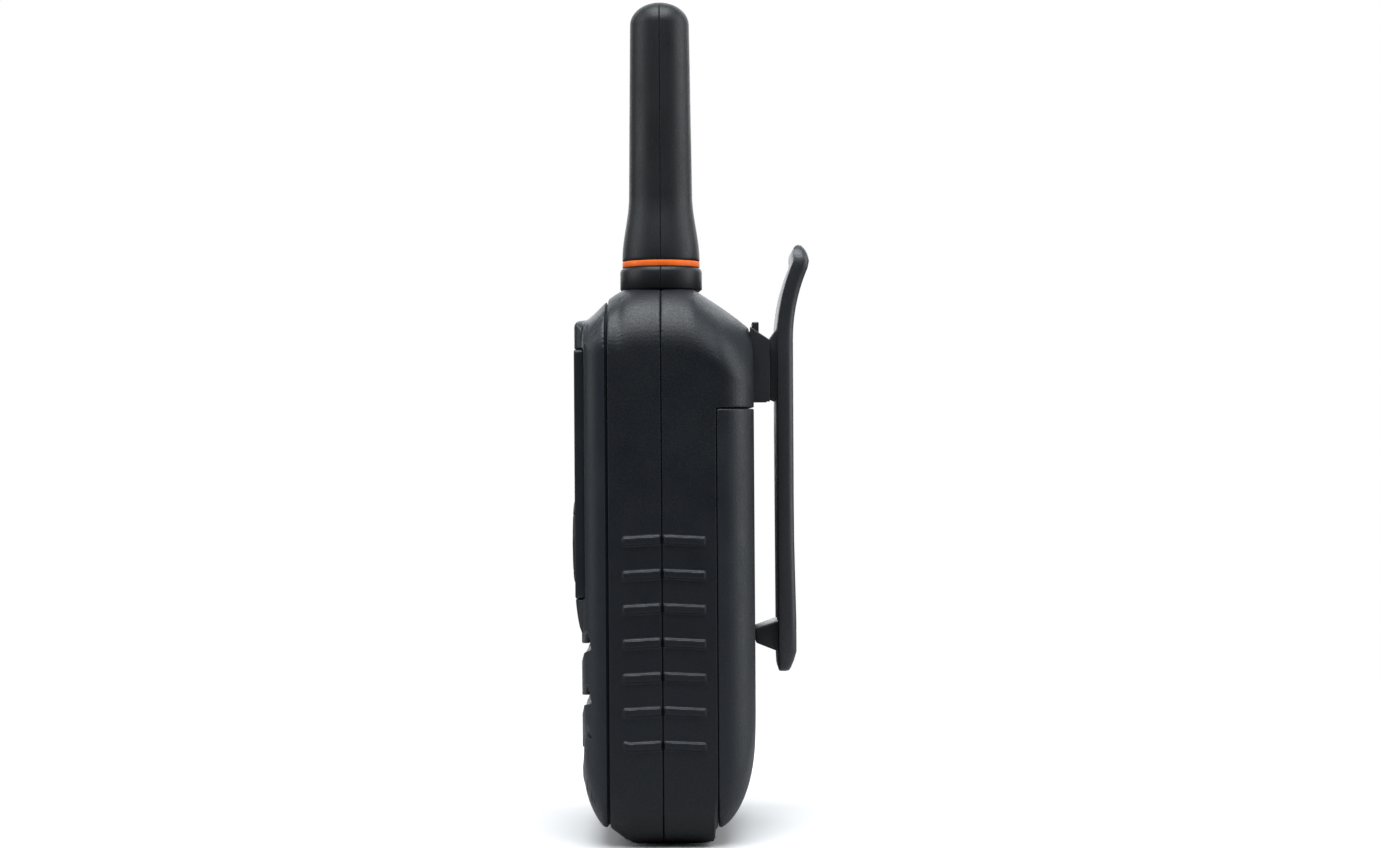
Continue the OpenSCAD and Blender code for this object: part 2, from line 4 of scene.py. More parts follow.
import bmesh
import bpy
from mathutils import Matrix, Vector


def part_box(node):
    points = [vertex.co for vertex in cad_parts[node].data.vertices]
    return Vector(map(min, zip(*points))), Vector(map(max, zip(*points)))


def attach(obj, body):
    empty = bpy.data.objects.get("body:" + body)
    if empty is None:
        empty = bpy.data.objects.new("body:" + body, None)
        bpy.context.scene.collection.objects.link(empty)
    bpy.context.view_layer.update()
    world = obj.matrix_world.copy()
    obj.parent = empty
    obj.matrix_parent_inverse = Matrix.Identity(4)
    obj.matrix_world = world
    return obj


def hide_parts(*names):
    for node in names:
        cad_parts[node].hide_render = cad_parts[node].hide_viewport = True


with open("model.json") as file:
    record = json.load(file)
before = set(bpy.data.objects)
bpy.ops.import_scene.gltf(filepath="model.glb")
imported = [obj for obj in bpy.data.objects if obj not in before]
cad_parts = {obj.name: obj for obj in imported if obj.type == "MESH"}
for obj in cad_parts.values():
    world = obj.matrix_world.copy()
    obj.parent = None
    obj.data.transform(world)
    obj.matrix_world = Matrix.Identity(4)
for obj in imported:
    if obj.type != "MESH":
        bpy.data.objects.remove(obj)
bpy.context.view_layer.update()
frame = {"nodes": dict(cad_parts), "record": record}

MM = 0.001
NODES = frame["nodes"]
BODY_OF = {n: b for b, ns in frame["record"]["behaviour"]["bodies"].items() for n in ns}
SLOT_OF = {s["node"]: s["material_slot"] for s in frame["record"]["subparts"]}
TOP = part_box("antenna_front_half")[1].z / MM
BODY_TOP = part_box("rear_shell")[1].z / MM
KEY_Z = sum(c.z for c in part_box("key_menu")) / 2 / MM
ANTENNA_X = sum(c.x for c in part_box("antenna_ring")) / 2 / MM


# ---------------------------------------------------------------- materials

def srgb(r, g, b):
    """Linear colour of an 8-bit screen colour."""
    def lin(v):
        v /= 255
        return v / 12.92 if v <= 0.04045 else ((v + 0.055) / 1.055) ** 2.4
    return lin(r), lin(g), lin(b), 1.0


class Nodes:
    """A material's node tree with short calls for the nodes that the finishes share."""

    def __init__(self, name):
        self.mat = bpy.data.materials.new(name)
        self.mat.use_nodes = True
        self.tree = self.mat.node_tree
        self.shader = next(n for n in self.tree.nodes if n.type == "BSDF_PRINCIPLED")
        self.coords = self.node("TexCoord").outputs["Object"]

    def node(self, kind, **values):
        n = self.tree.nodes.new("ShaderNode" + kind)
        for key, value in values.items():
            setattr(n, key, value)
        return n

    def link(self, a, b):
        self.tree.links.new(a, b)

    def feed(self, socket, value):
        if isinstance(value, bpy.types.NodeSocket):
            self.link(value, socket)
        else:
            socket.default_value = value

    def noise(self, per_mm, detail=3.0, rough=0.55, coords=None):
        n = self.node("TexNoise")
        n.inputs["Scale"].default_value = per_mm / MM
        n.inputs["Detail"].default_value = detail
        n.inputs["Roughness"].default_value = rough
        self.link(coords or self.coords, n.inputs["Vector"])
        return n.outputs["Fac"]

    def cells(self, per_mm):
        n = self.node("TexVoronoi")
        n.inputs["Scale"].default_value = per_mm / MM
        self.link(self.coords, n.inputs["Vector"])
        return n.outputs["Distance"]

    def stretched(self, x, y, z):
        n = self.node("Mapping")
        n.inputs["Scale"].default_value = (x, y, z)
        self.link(self.coords, n.inputs["Vector"])
        return n.outputs["Vector"]

    def remap(self, value, low, high, out_low=0.0, out_high=1.0):
        n = self.node("MapRange")
        self.link(value, n.inputs["Value"])
        n.inputs["From Min"].default_value = low
        n.inputs["From Max"].default_value = high
        n.inputs["To Min"].default_value = out_low
        n.inputs["To Max"].default_value = out_high
        return n.outputs["Result"]

    def maths(self, operation, a, b=0.0):
        n = self.node("Math", operation=operation)
        self.feed(n.inputs[0], a)
        self.feed(n.inputs[1], b)
        return n.outputs[0]

    def mix(self, factor, a, b):
        n = self.node("Mix", data_type="RGBA")
        self.feed(n.inputs["Factor"], factor)
        self.feed(n.inputs["A"], a)
        self.feed(n.inputs["B"], b)
        return n.outputs["Result"]

    def axis(self, letter):
        n = self.node("SeparateXYZ")
        self.link(self.coords, n.inputs[0])
        return n.outputs[letter]

    def edges(self, radius_mm=0.45, low=0.02, high=0.22):
        """1 along sharp edges, 0 on open faces."""
        bevel = self.node("Bevel", samples=4)
        bevel.inputs["Radius"].default_value = radius_mm * MM
        face = self.node("NewGeometry")
        dot = self.node("VectorMath", operation="DOT_PRODUCT")
        self.link(bevel.outputs[0], dot.inputs[0])
        self.link(face.outputs["Normal"], dot.inputs[1])
        return self.remap(self.maths("SUBTRACT", 1.0, dot.outputs["Value"]), low, high)

    def bump(self, height, depth_mm, strength=1.0, below=None):
        n = self.node("Bump")
        n.inputs["Strength"].default_value = strength
        n.inputs["Distance"].default_value = depth_mm * MM
        self.link(height, n.inputs["Height"])
        if below is not None:
            self.link(below, n.inputs["Normal"])
        return n.outputs[0]

    def finish(self, colour, rough, normal=None, **sockets):
        self.feed(self.shader.inputs["Base Color"], colour)
        self.feed(self.shader.inputs["Roughness"], rough)
        if normal is not None:
            self.link(normal, self.shader.inputs["Normal"])
        for key, value in sockets.items():
            self.shader.inputs[key.replace("_", " ")].default_value = value
        return self.mat


def moulded(name, colour, rough=0.5, grain=2.6, depth=0.03, worn=1.9, specular=0.4, foot=None):
    """Fine-grained moulded plastic with paler edges. Between the two heights foot, in mm, it darkens
    towards the bottom: painted shade where the case curves under.
    """
    m = Nodes(name)
    dark = tuple(c * 0.82 for c in colour[:3]) + (1.0,)
    pale = tuple(min(1.0, c * worn + 0.004) for c in colour[:3]) + (1.0,)
    cloud = m.remap(m.noise(0.06, 4), 0.35, 0.65)
    speck = m.noise(grain, 2, 0.6)
    body = m.mix(cloud, colour, dark)
    body = m.mix(m.remap(speck, 0.56, 0.72, 0.0, 0.5), body, pale)
    wear = m.maths("MULTIPLY", m.edges(), m.remap(m.noise(0.5, 3), 0.3, 0.7, 0.25, 0.8))
    body = m.mix(wear, body, pale)
    # Painted shade: the colour darkens towards the bottom of the case, where the surface turns under
    # away from the light.
    if foot:
        body = m.mix(m.remap(m.axis("Z"), foot[0] * MM, foot[1] * MM, 0.85, 0.0), body, srgb(2, 3, 5))
    shine = m.remap(speck, 0.3, 0.7, rough + 0.07, rough - 0.07)
    shine = m.maths("ADD", shine, m.remap(m.noise(0.11, 3), 0.3, 0.7, -0.05, 0.05))
    pits = m.bump(m.cells(grain * 0.8), depth * 0.5, 0.6)
    normal = m.bump(speck, depth, 0.8, pits)
    return m.finish(body, shine, normal, Specular_IOR_Level=specular)


def rubber(name, colour, rough=0.62):
    """Soft moulded rubber with a dusty bloom."""
    m = Nodes(name)
    pale = tuple(c * 1.7 + 0.006 for c in colour[:3]) + (1.0,)
    dust = m.remap(m.noise(0.35, 5, 0.65), 0.45, 0.75, 0.0, 0.45)
    body = m.mix(dust, colour, pale)
    body = m.mix(m.maths("MULTIPLY", m.edges(0.3), 0.4), body, pale)
    shine = m.remap(m.noise(1.4, 3), 0.3, 0.7, rough - 0.06, rough + 0.08)
    return m.finish(body, shine, m.bump(m.noise(4.0, 2), 0.018, 0.7), Specular_IOR_Level=0.35)


def metal(name, colour, rough=0.3, stretch=(1, 1, 14), scratch=1.2):
    """Drawn or rolled metal with fine lines and a little tarnish."""
    m = Nodes(name)
    dull = tuple(c * 0.55 for c in colour[:3]) + (1.0,)
    lines = m.noise(scratch, 4, 0.6, m.stretched(*stretch))
    body = m.mix(m.remap(m.noise(0.25, 5), 0.4, 0.75, 0.0, 0.7), colour, dull)
    shine = m.remap(lines, 0.3, 0.7, rough - 0.08, rough + 0.14)
    return m.finish(body, shine, m.bump(lines, 0.01, 0.5), Metallic=1.0)


def circuit_board(name):
    """Green solder mask over thin copper tracks, with tinned pads."""
    m = Nodes(name)
    tracks = m.node("TexBrick", offset=0.37, squash=0.6)
    tracks.inputs["Scale"].default_value = 0.22 / MM
    tracks.inputs["Mortar Size"].default_value = 0.035
    turned = m.node("Mapping")
    turned.inputs["Rotation"].default_value = (math.pi / 2, 0, 0)
    m.link(m.coords, turned.inputs["Vector"])
    m.link(turned.outputs["Vector"], tracks.inputs["Vector"])
    line = m.remap(tracks.outputs["Fac"], 0.2, 0.8)
    pads = m.remap(m.cells(0.42), 0.16, 0.19, 1.0, 0.0)
    mask = m.mix(m.noise(0.5, 3), srgb(24, 92, 58), srgb(18, 74, 50))
    body = m.mix(line, mask, srgb(46, 128, 78))
    body = m.mix(pads, body, srgb(196, 190, 168))
    shine = m.remap(m.noise(1.0, 3), 0.3, 0.7, 0.24, 0.42)
    return m.finish(body, shine, m.bump(line, 0.03, 0.6), Specular_IOR_Level=0.5)


def woven(name, colour, pitch_mm=0.55):
    """Cloth of round threads that cross over and under."""
    m = Nodes(name)
    waves = []
    for direction in ("X", "Z"):
        w = m.node("TexWave", bands_direction=direction)
        w.inputs["Scale"].default_value = 0.31 / pitch_mm / MM
        w.inputs["Distortion"].default_value = 0.4
        w.inputs["Detail"].default_value = 1.0
        m.link(m.coords, w.inputs["Vector"])
        waves.append(w.outputs["Fac"])
    thread = m.maths("MAXIMUM", *waves)
    hole = tuple(c * 0.15 for c in colour[:3]) + (1.0,)
    body = m.mix(m.remap(thread, 0.35, 0.8), hole, colour)
    return m.finish(body, m.remap(m.noise(2, 2), 0.3, 0.7, 0.7, 0.9), m.bump(thread, 0.12, 1.0),
                    Sheen_Weight=0.3)


def display_glass(name):
    """The display's own face: grey-green glass over a fine grid of picture cells."""
    m = Nodes(name)
    grid = m.node("TexBrick", offset=0.0)
    grid.inputs["Scale"].default_value = 1.0 / MM
    grid.inputs["Mortar Size"].default_value = 0.012
    turned = m.node("Mapping")
    turned.inputs["Rotation"].default_value = (math.pi / 2, 0, 0)
    m.link(m.coords, turned.inputs["Vector"])
    m.link(turned.outputs["Vector"], grid.inputs["Vector"])
    tone = m.mix(m.noise(0.04, 2), srgb(150, 158, 142), srgb(132, 142, 130))
    body = m.mix(m.remap(grid.outputs["Fac"], 0.2, 0.8, 0.0, 0.25), tone, srgb(70, 78, 70))
    return m.finish(body, m.remap(m.noise(0.6, 2), 0.3, 0.7, 0.12, 0.22),
                    m.bump(grid.outputs["Fac"], 0.004, 0.4))


def clear_window(name):
    """Smoked clear plastic with faint surface dust."""
    m = Nodes(name)
    dust = m.remap(m.noise(0.9, 6, 0.7), 0.6, 0.85, 0.0, 0.35)
    body = m.mix(dust, srgb(120, 124, 126), srgb(190, 192, 190))
    shine = m.remap(m.noise(0.3, 5, 0.7), 0.45, 0.75, 0.04, 0.16)
    return m.finish(body, shine, Transmission_Weight=0.92, IOR=1.49)


def cell_wrap(name, low_mm, high_mm, up):
    """Printed sleeve of a dry cell: a dark body, a copper shoulder and a bright end."""
    m = Nodes(name)
    span = (low_mm * MM, high_mm * MM) if up else (high_mm * MM, low_mm * MM)
    along = m.remap(m.axis("Z"), *span)
    ramp = m.node("ValToRGB")
    ramp.color_ramp.interpolation = "CONSTANT"
    stops = ramp.color_ramp.elements
    stops[0].position, stops[0].color = 0.0, srgb(176, 176, 172)
    stops[1].position, stops[1].color = 0.018, srgb(24, 25, 28)
    for place, tone in ((0.7, srgb(196, 132, 70)), (0.955, srgb(180, 180, 176))):
        stop = stops.new(place)
        stop.color = tone
    m.link(along, ramp.inputs["Fac"])
    body = m.mix(m.remap(m.noise(0.4, 4), 0.5, 0.8, 0.0, 0.25), ramp.outputs["Color"], srgb(90, 88, 84))
    shine = m.remap(m.noise(0.8, 4), 0.3, 0.7, 0.24, 0.4)
    return m.finish(body, shine, m.bump(m.noise(0.8, 2), 0.02, 0.3), Metallic=0.35)


def printed(name, colour):
    """Thin printed or inlaid mark."""
    m = Nodes(name)
    dark = tuple(c * 0.6 for c in colour[:3]) + (1,)
    body = m.mix(m.remap(m.noise(1.5, 4), 0.4, 0.8, 0.0, 0.4), colour, dark)
    return m.finish(body, m.remap(m.noise(2, 2), 0.3, 0.7, 0.45, 0.6), m.bump(m.noise(3, 2), 0.01, 0.4))


def make_finishes():
    return {
        "shell_black": moulded("shell_plastic", srgb(14, 19, 25), rough=0.48, foot=(1.0, 9.0)),
        "cover_black": moulded("cover_plastic", srgb(27, 32, 37), rough=0.46),
        "bezel_black": moulded("bezel_plastic", srgb(32, 36, 40), 0.42, depth=0.012, worn=1.5),
        "lens_clear": clear_window("window_plastic"),
        "display_grey": display_glass("display_face"),
        "key_rubber": rubber("key_rubber", srgb(26, 27, 30), 0.5),
        "mat_rubber": rubber("mat_rubber", srgb(58, 60, 62)),
        "board_green": circuit_board("circuit_board"),
        "chip_black": moulded("chip_resin", srgb(22, 22, 24), rough=0.55, grain=5, depth=0.01),
        "steel": metal("bright_steel", srgb(190, 192, 196)),
        "magnet_iron": metal("plated_iron", srgb(150, 152, 158), 0.38, (1, 6, 1)),
        "cone_paper": rubber("cone_paper", srgb(24, 24, 26), 0.85),
        "mesh_cloth": woven("speaker_cloth", srgb(40, 41, 43)),
        "mic_can": metal("mic_can", srgb(186, 188, 190), 0.26),
        "boot_rubber": rubber("boot_rubber", srgb(24, 25, 27)),
        "antenna_black": moulded("antenna_plastic", srgb(13, 18, 22), rough=0.5, depth=0.025),
        "ring_orange": rubber("ring_orange", srgb(236, 104, 26), 0.5),
        "core_white": moulded("core_nylon", srgb(214, 210, 200), rough=0.5, worn=1.05),
        "coil_copper": metal("coil_copper", srgb(196, 120, 74), 0.25),
        "contact_brass": metal("contact_brass", srgb(206, 176, 104), 0.3),
        "jack_black": moulded("jack_plastic", srgb(16, 16, 18), rough=0.35, depth=0.01),
        "cell_wrap": cell_wrap("cell_up", 17.5, 68, True),
        "door_black": moulded("door_plastic", srgb(25, 29, 34), rough=0.5),
        "clip_black": moulded("clip_plastic", srgb(34, 37, 41), rough=0.44, specular=0.6),
    }


# ---------------------------------------------------------------- mesh helpers

def new_object(name, mesh, node, replaced=(), smooth=True):
    """Links a mesh as a piece that rides with a CAD node's body and takes its finish."""
    ob = bpy.data.objects.new(name, mesh)
    bpy.context.scene.collection.objects.link(ob)
    mesh.materials.clear()
    mesh.materials.append(FINISHES[SLOT_OF[node]])
    if smooth:
        mesh.shade_smooth()
    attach(ob, BODY_OF[node])
    if replaced:
        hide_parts(*replaced)
    return ob


def applied(mesh, *modifiers):
    """The mesh with modifiers, each (kind, values), applied in order."""
    ob = bpy.data.objects.new("scratch", mesh)
    bpy.context.scene.collection.objects.link(ob)
    for kind, values in modifiers:
        m = ob.modifiers.new(kind, kind)
        for key, value in values.items():
            setattr(m, key, value)
    graph = bpy.context.evaluated_depsgraph_get()
    result = bpy.data.meshes.new_from_object(ob.evaluated_get(graph))
    bpy.data.objects.remove(ob)
    return result


def skin(node, voxel=0.28, rounds=3, keep=0.35, shaped=False):
    """Replaces a CAD node by its own shape with softened edges, domed if it is part of the case."""
    mesh = applied(
        NODES[node].data.copy(),
        ("REMESH", {"mode": "VOXEL", "voxel_size": voxel * MM}),
        ("SMOOTH", {"factor": 0.5, "iterations": rounds}),
        ("DECIMATE", {"ratio": keep}),
    )
    if shaped:
        dome(mesh)
    if node == "battery_cover":
        close_seam(mesh)
    return new_object(node + "_skin", mesh, node, [node])


# ---------------------------------------------------------------- form of the case

def clamp(v, low=0.0, high=1.0):
    return min(high, max(low, v))


def along(points, at):
    """Straight-line interpolation through (place, value) points in rising order."""
    for (a, va), (b, vb) in zip(points, points[1:]):
        if at <= b:
            return va + (vb - va) * clamp((at - a) / (b - a))
    return points[-1][1]


def roll_off(x, reach, r, wider=0.0):
    """How far a rounding of height r and width r + wider that ends at reach has fallen at x."""
    over = clamp((abs(x) - (reach - r - wider)) / (r + wider))
    return r * (1 - math.sqrt(1 - over * over))


def half_width(y):
    """Half the width of the case in plan at depth y."""
    if y > 10.5:
        return 18.5 + 9 * math.sqrt(1 - clamp((y - 10.5) / 7.5) ** 2)
    return 22.5 + 5 * math.sqrt(1 - clamp((-10.3 - y) / 5) ** 2)


def top_line(y):
    """Height of the case's top edge at depth y."""
    brow = ((-16.4, 100.9), (-14.3, 102.2), (-10.3, 106.2), (-8.8, 107.2))
    return along(brow + ((-7.3, 108), (6.4, 108), (18, 100.4)), y)


def soft_top_line(y, reach=2.5):
    """The top line with its corners eased."""
    return sum(min(top_line(y), top_line(y + k * reach / 4)) for k in range(-4, 5)) / 9


def bottom_line(y):
    """Height of the case's bottom edge at depth y."""
    if y > 10.5:
        return 20 - 18 * math.sqrt(1 - clamp((y - 8) / 10) ** 2)
    if y < -11.6:
        return 18 - 17.6 * math.sqrt(1 - clamp((-6 - y) / 10.4) ** 2)
    return along(((-11.6, 3.2), (-10.3, 3.1), (-9.1, 2.2), (-6.3, 0), (9.6, 0), (10.5, 3.1)), y)


def dome(mesh):
    """Rolls the case's top and bottom edges off all the way round, and narrows the parting groove."""
    shoulder, heel, side, tighter = 12.5, 8.5, 27.5, 0.07
    upper_z, brow_rise, lower_z, least = 85, 11.2, 28, 0.15
    count = len(mesh.vertices)
    flat = [0.0] * (3 * count)
    mesh.vertices.foreach_get("co", flat)
    for i in range(count):
        x, y, z = (flat[3 * i + k] / MM for k in range(3))
        width = half_width(y)
        front = clamp((-8 - y) / 8.4)
        if z > upper_z:
            still = upper_z + brow_rise * clamp((-11 - y) / 3.5)
            top = top_line(y)
            cut = min(top, BODY_TOP - roll_off(x, side, shoulder))
            soft = top - roll_off(x, width, shoulder - 8.5 * front, 0.03 * y * y * (1 - front))
            soft -= (top - soft_top_line(y)) * clamp((abs(x) - 12) / 8)
            if z > still and soft < cut:
                z = still + (z - still) * max(least, (soft - still) / (cut - still))
        elif z < lower_z:
            low = bottom_line(y)
            cut = max(low, roll_off(x, side, heel))
            soft = low + roll_off(x, width, heel)
            if soft > cut:
                z = lower_z - (lower_z - z) * max(least, (lower_z - soft) / (lower_z - cut))
        flat[3 * i + 2] = z * MM
        if abs(y) < 1:
            flat[3 * i + 1] -= math.copysign(tighter * (1 - abs(y)), y) * MM
    mesh.vertices.foreach_set("co", flat)
    mesh.update()


def close_seam(mesh):
    """Brings the battery cover's front edge nearer to the shell, so that the seam is a faint line."""
    edge, fade, closer, flank = 11.2, 12.6, 0.14, 18
    for v in mesh.vertices:
        if abs(v.co.x) > flank * MM:
            v.co.y -= closer * clamp((fade - v.co.y / MM) / (fade - edge)) * MM


def mesh_from(bm, name):
    bmesh.ops.recalc_face_normals(bm, faces=bm.faces)
    mesh = bpy.data.meshes.new(name)
    bm.to_mesh(mesh)
    bm.free()
    return mesh


def prism(bm, outline, x, soft=0.3):
    """Adds a rounded prism: an outline of (Y, Z) points, extruded along X."""
    ends = [[bm.verts.new(Vector((end, y, z)) * MM) for y, z in outline] for end in x]
    faces = [bm.faces.new(ends[0]), bm.faces.new(ends[1][::-1])]
    n = len(outline)
    for i in range(n):
        j = (i + 1) % n
        faces.append(bm.faces.new((ends[0][j], ends[0][i], ends[1][i], ends[1][j])))
    edges = list({e for f in faces for e in f.edges})
    bmesh.ops.bevel(bm, geom=edges, offset=soft * MM, segments=3, profile=0.5, affect="EDGES",
                    clamp_overlap=True)


def loft(bm, rings):
    """Joins rings of points, each a list of the same length, and closes both ends."""
    loops = [[bm.verts.new(Vector(p) * MM) for p in ring] for ring in rings]
    for a, b in zip(loops, loops[1:]):
        for i in range(len(a)):
            j = (i + 1) % len(a)
            bm.faces.new((a[i], a[j], b[j], b[i]))
    bm.faces.new(loops[0][::-1])
    bm.faces.new(loops[-1])


# ---------------------------------------------------------------- antenna

def antenna_profile():
    """(radius, height) up the outside, from the collar's foot to the tip."""
    collar, ring_r, ring_z = 8.1, 7.5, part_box("antenna_ring")[0].z / MM
    shaft_z, shaft_h, shaft_r, tip_r, tip_h = ring_z + 1.2, 13.4, 6.26, 5.85, 4.5
    points = [(7.2, BODY_TOP - 0.6), (collar - 0.12, BODY_TOP), (collar, BODY_TOP + 0.15)]
    points += [(collar, ring_z - 1.0), (collar - 0.1, ring_z - 0.55), (collar - 0.55, ring_z - 0.05)]
    points += [(collar - 0.8, ring_z), (ring_r - 1.0, ring_z), (ring_r - 1.0, shaft_z)]
    points += [(7.45, shaft_z), (7.62, shaft_z + 0.12)]
    for i in range(1, 33):
        t = i / 32
        r = shaft_r + 0.7 * (1 + math.cos(math.pi * t))
        points.append((r, shaft_z + 0.12 + (shaft_h - 0.12) * t))
    neck, tip = shaft_z + shaft_h, TOP - tip_h
    for i in range(1, 6):
        points.append((shaft_r + (tip_r - shaft_r) * i / 6, neck + (tip - neck) * i / 6))
    for i in range(15):
        a = math.radians(90 * i / 14)
        points.append((tip_r * math.cos(a), tip + tip_h * math.sin(a)))
    return points


def antenna_half(node, side):
    """Half of the sleeve, with rounded lips along the parting plane."""
    lip, gap, steps = 0.24, 0.01, 40
    bm = bmesh.new()
    profile = antenna_profile()
    rows = []
    for r, z in profile:
        r = max(r, 0.02)
        row = []
        widest = math.asin(min(0.9, (lip + gap) / r))
        bends = [math.radians(18 * k) for k in range(6)]
        angles = [math.asin(min(0.9, (gap + lip * (1 - math.cos(b))) / r)) for b in bends]
        drops = [lip * (1 - math.sin(b)) for b in bends]
        stations = [(a, min(d, r * 0.4)) for a, d in zip(angles, drops)]
        middle = [(widest + (math.pi - 2 * widest) * (k + 1) / steps, 0) for k in range(steps - 1)]
        stations = stations + middle + [(math.pi - a, d) for a, d in reversed(stations)]
        for a, drop in stations:
            row.append(bm.verts.new(Vector((
                ANTENNA_X + (r - drop) * math.cos(a), side * (r - drop) * math.sin(a), z)) * MM))
        rows.append(row)
    for low, high in zip(rows, rows[1:]):
        for i in range(len(low) - 1):
            bm.faces.new((low[i], low[i + 1], high[i + 1], high[i]))
    # The flat face on the parting plane, and the foot
    left, right = [row[0] for row in rows], [row[-1] for row in rows]
    for i in range(len(rows) - 1):
        bm.faces.new((left[i], left[i + 1], right[i + 1], right[i]))
    bm.faces.new(rows[0])
    bm.faces.new(rows[-1])
    bmesh.ops.remove_doubles(bm, verts=bm.verts, dist=1e-7)
    mesh = mesh_from(bm, node)
    new_object(node + "_skin", mesh, node, [node])
    mesh.set_sharp_from_angle(angle=math.radians(50))


def antenna_ring():
    """The coloured ring in its groove."""
    low, high = (c.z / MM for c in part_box("antenna_ring"))
    inner, outer, soft, steps = 6.6, 7.66, 0.14, 96
    outline = [(inner, low + 0.02), (outer - soft, low + 0.02), (outer - soft * 0.3, low + soft * 0.3)]
    outline += [(outer, low + soft), (outer, high - soft)]
    outline += [(outer - soft * 0.3, high - soft * 0.3)]
    outline += [(outer - soft, high - 0.02), (inner, high - 0.02)]
    bm = bmesh.new()
    turns = [math.tau * k / steps for k in range(steps)]
    rings = [[bm.verts.new(Vector((ANTENNA_X + r * math.cos(a), r * math.sin(a), z)) * MM)
              for r, z in outline] for a in turns]
    for a, b in zip(rings, rings[1:] + rings[:1]):
        for i in range(len(outline)):
            j = (i + 1) % len(outline)
            bm.faces.new((a[i], a[j], b[j], b[i]))
    mesh = mesh_from(bm, "antenna_ring")
    new_object("antenna_ring_skin", mesh, "antenna_ring", ["antenna_ring"])
    mesh.set_sharp_from_angle(angle=math.radians(60))


# ---------------------------------------------------------------- belt clip

def clip_line():
    """(inner Y, outer Y, Z, lean) up the clip's arm."""
    inner, outer, knee, lever_r, bend = 22.9, 26.1, 98.0, 39.0, 23.4
    line = [(23.35, 24.7, 31.8), (23.05, 25.1, 32.0), (22.95, 25.4, 32.6)]
    line += [(inner, 26.0, 34.2), (inner, 26.5, 36.0)]
    line += [(inner, outer + 0.4, 42), (inner, outer + 0.22, 50), (inner, outer + 0.05, 58)]
    line += [(inner, outer, 58 + 8 * i) for i in range(1, 6)]
    line = [(a, b, z, 0.0) for a, b, z in line]
    for i in range(1, 17):
        a = math.radians(bend * i / 16)
        shift, z = lever_r * (1 - math.cos(a)), knee + lever_r * math.sin(a)
        line.append((inner + shift, outer + shift, z, a))
    tip = [(26.2, 29.4, 114.1), (26.15, 29.3, 114.8), (26.15, 29.1, 115.5), (26.3, 28.75, 116.2)]
    tip += [(26.65, 28.3, 116.7), (27.1, 27.9, 116.95)]
    return line + [(a, b, z, math.radians(bend) * 0.4) for a, b, z in tip]


def clip_arm():
    """The arm with its rolled outer edges, the pin's ears and the tooth."""
    roll, soft, narrow, wide = 1.6, 0.3, 9.0, 12.0
    rings = []
    for y0, y1, z, lean in clip_line():
        w = along(((35.8, narrow), (113, wide)), z)
        if z < 35.8:
            w = narrow - 4 + math.sqrt(max(0.0, 16 - (35.8 - z) ** 2))
        if z > 113:
            w = wide - 4 + math.sqrt(max(0.0, 16.5 - (z - 113) ** 2))
        thick = y1 - y0
        r, s = min(roll, thick * 0.5), min(soft, thick * 0.2)
        bends = [math.radians(15 * k) for k in range(7)]
        outline = [(-w, s), (-w + s * 0.3, s * 0.3), (-w + s, 0)]
        outline += [(w - s, 0), (w - s * 0.3, s * 0.3), (w, s)]
        outline += [(w - r * (1 - math.cos(a)), thick - r * (1 - math.sin(a))) for a in bends]
        outline += [(-w + r * (1 - math.cos(a)), thick - r * (1 - math.sin(a))) for a in reversed(bends)]
        # The section leans with the lever, about its inner edge
        rings.append([(x, y0 + d * math.cos(lean), z - d * math.sin(lean)) for x, d in outline])
    bm = bmesh.new()
    loft(bm, rings)
    ears = [(23.2, 85.8), (21.4, 86.5), (20.3, 91), (20.3, 94.2), (21.4, 98.1), (23.2, 100.7)]
    for side in (-1, 1):
        prism(bm, ears, (side * 5.4, side * 8.9), 0.3)
    prism(bm, [(23.2, 42), (18.45, 40.3), (18.45, 37.5), (23.2, 35.6)], (-5, 5), 0.3)
    mesh = mesh_from(bm, "clip_arm")
    new_object("clip_arm_skin", mesh, "clip_arm", ["clip_arm"])
    mesh.set_sharp_from_angle(angle=math.radians(40))


# ---------------------------------------------------------------- key marks

def flat_band(bm, points, half, y, closed=False):
    """Adds a thin raised band of half-width half along (X, Z) points on the plane Y = y."""
    n = len(points)
    rails = []
    for i, (x, z) in enumerate(points):
        before = points[i - 1] if closed or i else points[0]
        after = points[(i + 1) % n] if closed or i < n - 1 else points[-1]
        run = Vector((after[0] - before[0], after[1] - before[1])).normalized()
        off = (-run.y * half, run.x * half)
        rails.append([bm.verts.new(Vector((x + k * off[0], depth, z + k * off[1])) * MM)
                      for k, depth in ((1, y), (-1, y), (-1, y + 0.1), (1, y + 0.1))])
    pairs = list(zip(rails, rails[1:] + rails[:1])) if closed else list(zip(rails, rails[1:]))
    for a, b in pairs:
        for i in range(4):
            j = (i + 1) % 4
            bm.faces.new((a[i], a[j], b[j], b[i]))
    if not closed:
        bm.faces.new(rails[0])
        bm.faces.new(rails[-1][::-1])


def arc_points(x, z, r, start, end, steps=16):
    turns = [math.radians(start + (end - start) * i / steps) for i in range(steps + 1)]
    return [(x + r * math.cos(a), z + r * math.sin(a)) for a in turns]


def key_mark(node, bands):
    """Inlays a mark of bands, each (points, half width, closed), in the face of a key."""
    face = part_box(node)[0].y / MM - 0.03
    bm = bmesh.new()
    for points, half, closed in bands:
        flat_band(bm, points, half, face, closed)
    ob = new_object("mark_" + node, mesh_from(bm, node), node, smooth=False)
    ob.data.materials[0] = MARK


